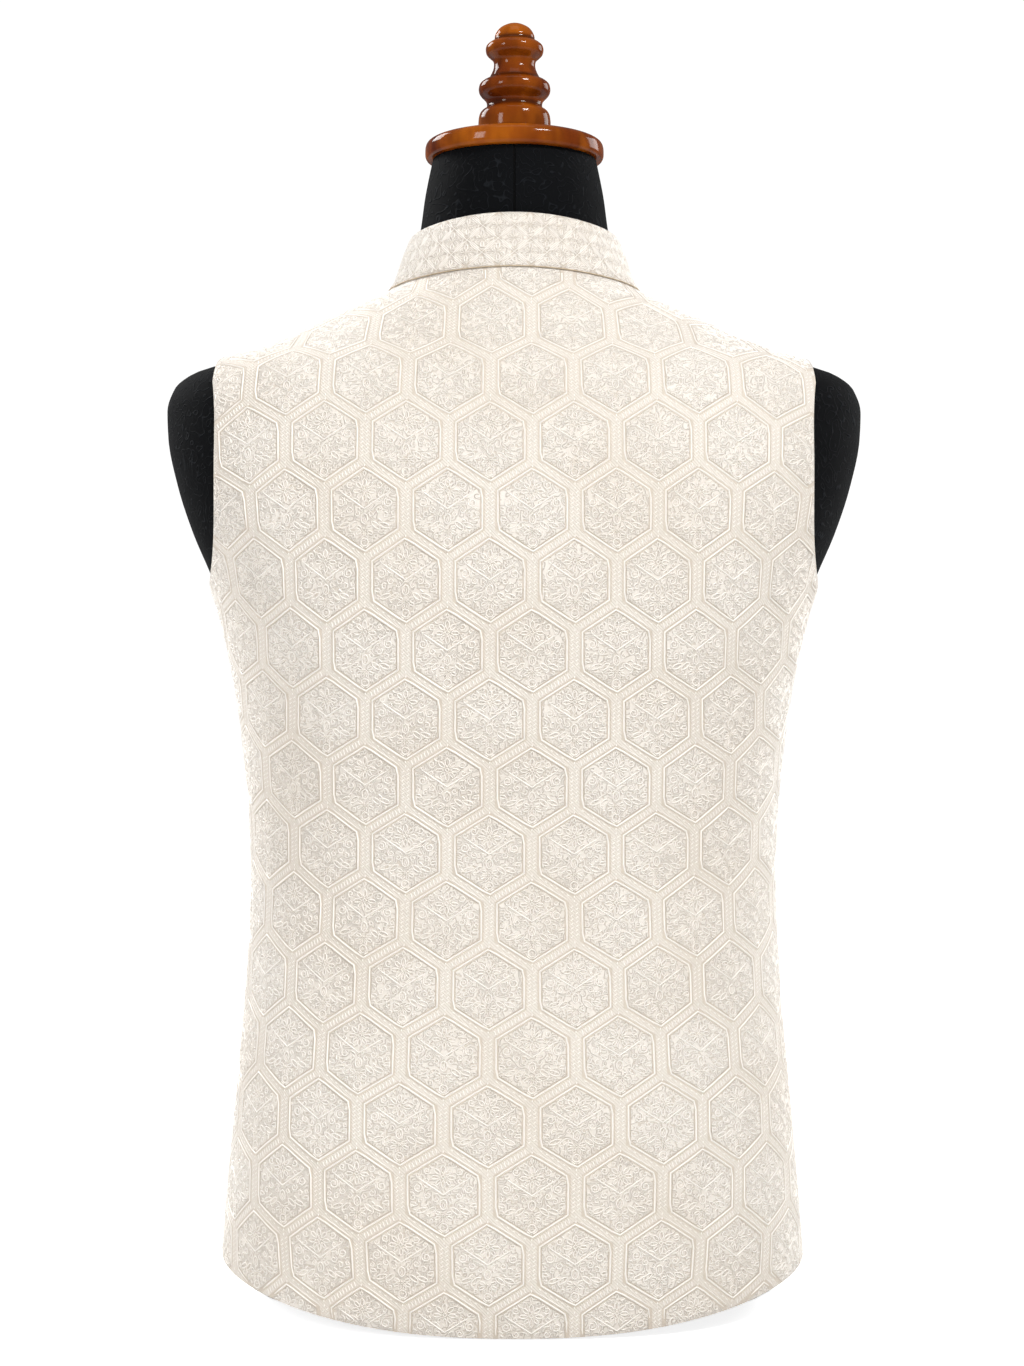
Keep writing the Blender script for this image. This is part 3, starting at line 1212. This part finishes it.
# %% [markdown]
# ## The collar's seam
#
# Where the collar meets the back, the two folds leave a narrow, shaded groove. A thin cord lies in it.
# It starts as a cylinder of length one, whose end is extruded once for each point of the seam, and
# then every ring is moved to its point. The same cord makes the thread round the buttonholes later.

# %% Make the seam
SEAM_WIDTH, SEAM_DEPTH = 0.6 * MM, 0.25 * MM
CORD_SIDES = 8


def cord(name, line, away, radius):
    """A closed cord along a line of points, from an upright cylinder with a ring for each point."""
    bpy.ops.object.select_all(action="DESELECT")
    bpy.ops.mesh.primitive_cylinder_add(
        vertices=CORD_SIDES, radius=radius, depth=1, location=(0, 0, 0.5))
    piece = bpy.context.active_object
    piece.name = piece.data.name = name
    bpy.ops.object.transform_apply(location=True, rotation=True, scale=True)
    bpy.ops.object.mode_set(mode="EDIT")
    bpy.ops.mesh.select_all(action="DESELECT")
    bpy.ops.object.mode_set(mode="OBJECT")
    for face in piece.data.polygons:
        face.select = face.normal.z > 0.9
    bpy.ops.object.mode_set(mode="EDIT")
    for _ in range(len(line) - 2):
        bpy.ops.mesh.extrude_region_move(TRANSFORM_OT_translate={"value": (0, 0, 1)})
    bpy.ops.object.mode_set(mode="OBJECT")
    corners = read_points(piece.data).astype(float)
    at = np.rint(corners[:, 2]).astype(int)
    ahead = np.gradient(line, axis=0)
    ahead /= np.linalg.norm(ahead, axis=1, keepdims=True)
    aside = np.cross(ahead, away)
    corners = line[at] + aside[at] * corners[:, :1] + away[at] * corners[:, 1:2]
    piece.data.vertices.foreach_set("co", corners.astype(np.float32).ravel())
    piece.data.update()
    bpy.ops.object.shade_smooth_by_angle(angle=math.radians(50))
    return piece


seam_run = cord("collar_seam", points[0] - away[0] * SEAM_DEPTH, away[0], SEAM_WIDTH / 2)
shade = Finish("shaded seam", Roughness=0.8)
ply = shade.noise(shade.place(), 700.0, 1.0)
shade.finished(Base_Color=shade.mix(ply, (0.48, 0.37, 0.235), (0.58, 0.46, 0.32))).put_on(seam_run)
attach(seam_run, "root")
seam_length = np.linalg.norm(np.diff(points[0], axis=0), axis=1).sum()
print(f"the collar's seam is {seam_length:.3f} m long")

# %% [markdown]
# ## The dress form
#
# A dress form is a padded torso in a fitted cover. Its neck, its shoulder ends and a little of its
# base show. A sphere with the right number of rings is the start: each ring is laid on a section of
# the torso, so that the poles close the base and the top of the neck. The rings are close together
# where the shoulders turn, and the base's corner is rounded.

# %% Make the form
FORM_COLUMNS = 168
FORM_TOP = 738.2 * MM
BASE_RINGS, TOP_RINGS = (0.3, 0.7), (0.9, 0.5)      # from the pole to the rim
CORNER_RINGS = 9
# from this height, to this height, and how far apart the rings are
RING_STEPS = [(BASE_CORNER / MM, 552, 6.5), (552, 664, 2.4), (664, FORM_TOP / MM, 4)]


def ringed_piece(name, rings):
    """A closed piece whose rings, from the top one down, are arrays of points."""
    count, columns = rings.shape[:2]
    bpy.ops.mesh.primitive_uv_sphere_add(segments=columns, ring_count=count + 1, radius=1)
    piece = bpy.context.active_object
    piece.name = piece.data.name = name
    ball = read_points(piece.data).astype(float)
    ring = np.rint(np.arccos(np.clip(ball[:, 2], -1, 1)) / math.pi * (count + 1)).astype(int) - 1
    column = np.rint(np.arctan2(ball[:, 1], ball[:, 0]) / math.tau * columns).astype(int) % columns
    placed = rings[np.clip(ring, 0, count - 1), column]
    placed[ring < 0], placed[ring >= count] = rings[0].mean(0), rings[-1].mean(0)
    piece.data.vertices.foreach_set("co", placed.astype(np.float32).ravel())
    piece.data.update()
    return piece


levels = np.concatenate([np.arange(*steps) * MM for steps in RING_STEPS] + [[FORM_TOP]])
corner = np.linspace(0, math.pi / 2, CORNER_RINGS + 1)[:-1]
heights = np.concatenate([BASE_CORNER * (1 - np.cos(corner)), levels])
insets = np.concatenate([BASE_CORNER * (1 - np.sin(corner)), 0 * levels])
around = np.arange(FORM_COLUMNS) / FORM_COLUMNS * math.tau
heights, insets = heights[:, None], insets[:, None]
rings = form_point(around[None] + 0 * heights, heights + 0 * around, insets)
bottom, top = rings[0].mean(0), rings[-1].mean(0)
rings = np.concatenate([
    [mix(bottom, rings[0], share) for share in BASE_RINGS], rings,
    [mix(top, rings[-1], share) for share in TOP_RINGS]])
form = ringed_piece("form_cover", rings[::-1])
bpy.ops.object.shade_smooth_by_angle(angle=math.radians(50))

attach(form, "root")
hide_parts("form")
print("form:", len(form.data.polygons), "faces")

# %% [markdown]
# ## Black jersey
#
# The cover is almost black, and only its relief tells that it is cloth: fine crinkles, which are again
# the contour lines of a noise, a knit too small to see from afar, and a seam up the back of the neck.

# %% The jersey's finish
STITCH_WIDTH, STITCH_HEIGHT = 1.1 * MM, 1.3 * MM
KNIT_DEPTH, PADDING_DEPTH, CRINKLE_DEPTH = 0.04 * MM, 0.8 * MM, 0.6 * MM
SEAM_EDGE, SEAM_CORE, SEAM_START, SEAM_FULL = 0.9 * MM, 0.3 * MM, 600 * MM, 650 * MM
JERSEY_DARK, JERSEY = (0.0012, 0.0014, 0.0018), (0.0026, 0.003, 0.0038)
JERSEY_CREST, JERSEY_SEAM = (0.014, 0.016, 0.019), (0.001, 0.001, 0.001)

jersey = Finish("black jersey", Roughness=0.85, Specular_IOR_Level=0.08)
place = jersey.place()
x, z = jersey.axis(place, 0), jersey.axis(place, 2)
crinkle = (jersey.noise(place, 85.0, 1.0) * 7.0).math("PINGPONG", 0.5).smooth(0.14, 0.0)
knit = (z * (math.tau / STITCH_HEIGHT)).math("SINE") * (x * (math.tau / STITCH_WIDTH)).math("SINE")
neck_seam = abs(x).smooth(SEAM_EDGE, SEAM_CORE) * z.smooth(SEAM_START, SEAM_FULL)
relief = jersey.bump(knit, KNIT_DEPTH)
relief = jersey.bump(jersey.noise(place, 26.0, 3.0), PADDING_DEPTH, relief)
relief = jersey.bump(crinkle + neck_seam * -2.5, CRINKLE_DEPTH, relief)
colour = jersey.mix(jersey.noise(place, 9.0, 3.0), JERSEY_DARK, JERSEY)
colour = jersey.mix(crinkle * 0.5 + knit * 0.1, colour, JERSEY_CREST)
colour = jersey.mix(neck_seam, colour, JERSEY_SEAM)
jersey.finished(Base_Color=colour, Normal=relief).put_on(form)
print("nodes in the jersey's finish:", len(jersey.tree.nodes))

# %% [markdown]
# ## Turned wood
#
# The neck cap and the finial come off a lathe. They are modelled the same way: a filled circle is the
# first face, and it is extruded upwards and resized again and again, ring by ring, along the profile.
# A smooth curve through the profile's points gives it more rings than are listed.

# %% The lathe
def spline(points, times):
    """The same points with others between them, on a Catmull-Rom curve."""
    points = np.array(points, float)
    padded = np.concatenate([points[:1], points, points[-1:]])
    t = np.arange(times)[:, None] / times
    spans = []
    for a, b, c, d in zip(padded, padded[1:], padded[2:], padded[3:]):
        spans.append(((2 * b) + (c - a) * t + (2 * a - 5 * b + 4 * c - d) * t ** 2
                      + (3 * b - a - 3 * c + d) * t ** 3) / 2)
    return np.concatenate([*spans, points[-1:]])


def turned_piece(name, profile, sides):
    """A solid of rings, from the bottom one to the top one: radius and height in metres."""
    bpy.ops.object.select_all(action="DESELECT")
    radius, height = profile[0]
    bpy.ops.mesh.primitive_circle_add(
        vertices=sides, radius=radius, fill_type="NGON", location=(0, 0, height))
    piece = bpy.context.active_object
    piece.name = piece.data.name = name
    bpy.ops.object.mode_set(mode="EDIT")
    for next_radius, next_height in profile[1:]:
        rise = (0, 0, next_height - height)
        bpy.ops.mesh.extrude_region_move(TRANSFORM_OT_translate={"value": rise})
        share = next_radius / radius
        bpy.ops.transform.resize(value=(share, share, 1), center_override=(0, 0, next_height))
        radius, height = next_radius, next_height
    bpy.ops.object.mode_set(mode="OBJECT")
    bpy.ops.object.transform_apply(location=True, rotation=True, scale=True)
    bpy.ops.object.shade_smooth_by_angle(angle=math.radians(50))
    return piece


print("a profile of three points becomes one of", len(spline([(0, 0), (1, 1), (2, 0)], 3)))

# %% [markdown]
# ## Lacquered wood
#
# The wood is red-brown, mottled and streaked upwards, under a clear lacquer. The lacquer is the
# shader's coat: it is smooth and gives the small bright highlights, while the wood below stays matt.
# Lacquer and polish gather in the grooves between the turnings, so the colour is darker there.

# %% The wood's finish
GROOVES = (756.8 * MM, 774.2 * MM, 791.9 * MM, 817.3 * MM)
GROOVE_EDGE, GROOVE_CORE = 2.6 * MM, 0.4 * MM
WOOD_DARK, WOOD = (0.075, 0.011, 0.0008), (0.33, 0.082, 0.004)
WOOD_GRAIN, WOOD_GROOVE = (0.19, 0.036, 0.003), (0.045, 0.009, 0.0015)
POLISH_DEPTH = 0.12 * MM

wood = Finish("lacquered wood", Roughness=0.45, Coat_Weight=0.42, Coat_Roughness=0.1, Coat_IOR=1.4,
              Specular_IOR_Level=0.0)
place = wood.place()
z = wood.axis(place, 2)
grain = wood.noise(place, 90.0, 4.0, stretch=(1, 1, 0.22))
mottle = wood.noise(place, 34.0, 3.0, stretch=(1, 1, 0.6)).smooth(0.32, 0.68)
colour = wood.mix(grain.smooth(0.42, 0.62) * 0.5, wood.mix(mottle, WOOD_DARK, WOOD), WOOD_GRAIN)
groove = None
for height in GROOVES:
    near = abs(z - height).smooth(GROOVE_EDGE, GROOVE_CORE)
    groove = near if groove is None else groove.math("MAXIMUM", near)
colour = wood.mix(groove * 0.85, colour, WOOD_GROOVE)
wood.finished(Base_Color=colour, Normal=wood.bump(wood.noise(place, 45.0, 2.0), POLISH_DEPTH))
print("grooves in the wood:", len(GROOVES))

# %% [markdown]
# ## The neck cap and the finial
#
# The two profiles are lists of radius and height in millimetres, from the bottom up. The cap is a flat
# disc with a rounded rim. The finial stands on it: a foot, a wide bead, a waist, a smaller bead and a
# knob.

# %% Turn the neck cap and the finial
TURNED_SIDES, FINER_PROFILE = 96, 3
CAP_PROFILE = [
    (55.5, 738.5), (56.8, 738.8), (57.7, 739.9), (58.2, 741.7), (58.2, 744.8), (57.9, 747.1),
    (57.0, 749.1), (55, 750.6), (51.5, 751.9), (45, 753.4), (36, 755), (24.5, 756.7),
]
FINIAL_PROFILE = [
    (22.9, 756.8), (23.4, 757.8), (23.6, 760.5), (23.5, 765.2), (22.7, 769), (21.1, 771.2),
    (18.9, 772.6), (18.1, 774), (18.1, 775.6), (18.6, 777.3), (19.8, 778.9), (21.8, 780.9),
    (23, 782.8), (23.4, 784.9), (23.2, 786.8), (22.5, 788.7), (20.4, 790.5), (17.6, 791.9),
    (16.6, 792.6), (15.6, 794.4), (14.6, 796.4), (13.8, 798.6), (13.5, 800.7), (13.6, 802.5),
    (14.3, 804.3), (16.3, 806.1), (18.2, 808.1), (18.8, 810.2), (18.8, 812), (18, 814),
    (15.8, 815.8), (13.6, 817.1), (13.1, 818.2), (12.9, 820.1), (12.1, 822), (10.8, 824),
    (8.7, 825.9), (4.8, 827.8), (1.6, 828.5), (0.5, 828.6),
]
TURNINGS = [("neck_disc", "neck_cap", CAP_PROFILE), ("finial_turning", "finial", FINIAL_PROFILE)]

for name, node, profile in TURNINGS:
    piece = wood.put_on(turned_piece(name, spline(profile, FINER_PROFILE) * MM, TURNED_SIDES))
    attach(piece, "root")
    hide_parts(node)
    print(name, len(piece.data.polygons), "faces")

# %% [markdown]
# ## Buttons
#
# Plain four-hole resin buttons close the front. One is turned like the finial, with a rim and a dish,
# and its holes are cut with a Boolean. A cross of thread holds it, and more thread is wound under it
# as a short shank. The buttonhole is a run of thread round a slit in the upper front, and it is laid
# as a cord on that front, with its creases.

# %% The parts of a button
BUTTON_HALF = 1.7 * MM            # of its thickness
BUTTON_PROFILE = [
    (7.2, -1.7), (8.3, -1.1), (8.9, -0.4), (9.0, 0.3), (8.8, 1.1), (8.4, 1.55), (7.9, 1.7),
    (7.3, 1.6), (6.6, 1.1), (5.8, 0.85), (3.0, 0.75),
]
BUTTON_SIDES = 48
BUTTON_SHANK = 0.6 * MM
HOLE_AWAY, HOLE_RADIUS, HOLE_SIDES = 1.75 * MM, 0.85 * MM, 20
THREAD_RADIUS, THREAD_SIDES, THREAD_HEIGHT = 0.42 * MM, 10, 0.9 * MM
SHANK_RADIUS, SHANK_SIDES, SHANK_HIDDEN = 1.6 * MM, 16, 1.4 * MM
# A stitched buttonhole, in millimetres across and up from its button's middle
BUTTONHOLE = [(1, 1.1), (18.4, 1.1), (19.4, 0), (18.4, -1.1), (1, -1.1)]
BUTTONHOLE_STEP = 0.9


def joined(pieces):
    only_select(pieces)
    bpy.ops.object.join()
    bpy.ops.object.transform_apply(location=True, rotation=True, scale=True)
    return bpy.context.active_object


def four_holes():
    """Four upright pins, joined, which cut the holes."""
    pins = []
    for across, along in ((1, 1), (1, -1), (-1, 1), (-1, -1)):
        bpy.ops.mesh.primitive_cylinder_add(
            vertices=HOLE_SIDES, radius=HOLE_RADIUS, depth=8 * MM,
            location=(across * HOLE_AWAY, along * HOLE_AWAY, 0))
        pins.append(bpy.context.active_object)
    return joined(pins)


def thread_cross():
    """Two bars of thread over the button and the shank that is wound under it."""
    bars = []
    for angle in (math.pi / 4, -math.pi / 4):
        bpy.ops.mesh.primitive_cylinder_add(
            vertices=THREAD_SIDES, radius=THREAD_RADIUS, depth=2.4 * HOLE_AWAY * math.sqrt(2),
            location=(0, 0, THREAD_HEIGHT), rotation=(math.pi / 2, 0, angle))
        bars.append(bpy.context.active_object)
    bpy.ops.mesh.primitive_cylinder_add(
        vertices=SHANK_SIDES, radius=SHANK_RADIUS, depth=BUTTON_SHANK + SHANK_HIDDEN,
        location=(0, 0, -BUTTON_HALF - BUTTON_SHANK / 2))
    bars.append(bpy.context.active_object)
    cross = joined(bars)
    bpy.ops.object.shade_smooth_by_angle(angle=math.radians(40))
    return cross


def placed_copy(source, name, matrix):
    piece = source.copy()
    piece.data = source.data.copy()
    piece.name = piece.data.name = name
    scene.collection.objects.link(piece)
    piece.data.transform(matrix)
    return piece


def stitched_hole(name, height):
    """The thread round a buttonhole, which lies on the upper front."""
    flat = smooth_line(BUTTONHOLE, step=BUTTONHOLE_STEP) * MM + (0, height)
    base = form_point(turn_at_x(flat[:, 0], flat[:, 1], FRONT), flat[:, 1])
    away = form_normal(base)
    lift = ease(flat[:, 1]) + WALL + lap_lift(base) + crease_lift(base, FRONT)
    return cord(name, base + away * lift[:, None], away, THREAD_RADIUS)


print("points round a buttonhole:", len(smooth_line(BUTTONHOLE, step=BUTTONHOLE_STEP)))

# %% [markdown]
# ## Resin, thread, and sewing on
#
# The resin has a faint swirl, as cast buttons have, and the thread is paler where its ply stands up.
# The finished button is copied, each copy with its own mesh, and turned to lie on the cloth where the
# tailor's marks are, evenly spaced down the centre line. The model that was copied is then removed.

# %% Sew the buttons on
BUTTON_COUNT, BUTTON_TOP, BUTTON_SPACING = 5, 584 * MM, 92 * MM
RESIN_DARK, RESIN = (0.66, 0.58, 0.45), (0.8, 0.735, 0.62)
THREAD_DARK, THREAD_PALE = (0.62, 0.56, 0.46), (0.8, 0.75, 0.66)
SWIRL_DEPTH, PLY_DEPTH = 0.05 * MM, 0.08 * MM

resin = Finish("ivory resin", Roughness=0.28, Coat_Weight=0.3, Specular_IOR_Level=0.5)
place = resin.place()
swirl = resin.noise(place, 130.0, 3.0, stretch=(1, 1, 0.4))
resin.finished(Base_Color=resin.mix(swirl.smooth(0.3, 0.7), RESIN_DARK, RESIN),
               Normal=resin.bump(swirl, SWIRL_DEPTH))
thread = Finish("sewing thread", Roughness=0.6, Sheen_Weight=0.3)
ply = thread.noise(thread.place(), 900.0, 1.0).smooth(0.3, 0.7)
thread.finished(Base_Color=thread.mix(ply, THREAD_DARK, THREAD_PALE),
                Normal=thread.bump(ply, PLY_DEPTH))

model = turned_piece("button_model", np.array(BUTTON_PROFILE) * MM, BUTTON_SIDES)
pins = four_holes()
apply_modifier(model, "BOOLEAN", operation="DIFFERENCE", object=pins, solver="EXACT")
bpy.ops.object.shade_smooth_by_angle(angle=math.radians(35))
resin.put_on(model)
cross = thread.put_on(thread_cross())
seat_heights = BUTTON_TOP - BUTTON_SPACING * np.arange(BUTTON_COUNT)
seats = form_point(np.full(BUTTON_COUNT, -math.pi / 2), seat_heights)
lifts = ease(seat_heights) + WALL + lap_lift(seats) + BUTTON_SHANK + BUTTON_HALF
for i, (seat, axis, lift) in enumerate(zip(seats, form_normal(seats), lifts)):
    turned = Vector(axis).to_track_quat("Z", "Y").to_matrix().to_4x4()
    turned.translation = Vector(seat + axis * lift)
    button = placed_copy(model, f"button_{i + 1}_disc", turned)
    sewn = placed_copy(cross, f"button_{i + 1}_thread", turned)
    hole = thread.put_on(stitched_hole(f"buttonhole_{i + 1}", seat[2]))
    for piece in (button, sewn, hole):
        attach(piece, "root")
    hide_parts(f"button_{i + 1}")
for piece in (model, pins, cross):
    bpy.data.objects.remove(piece)
print("buttons:", BUTTON_COUNT)
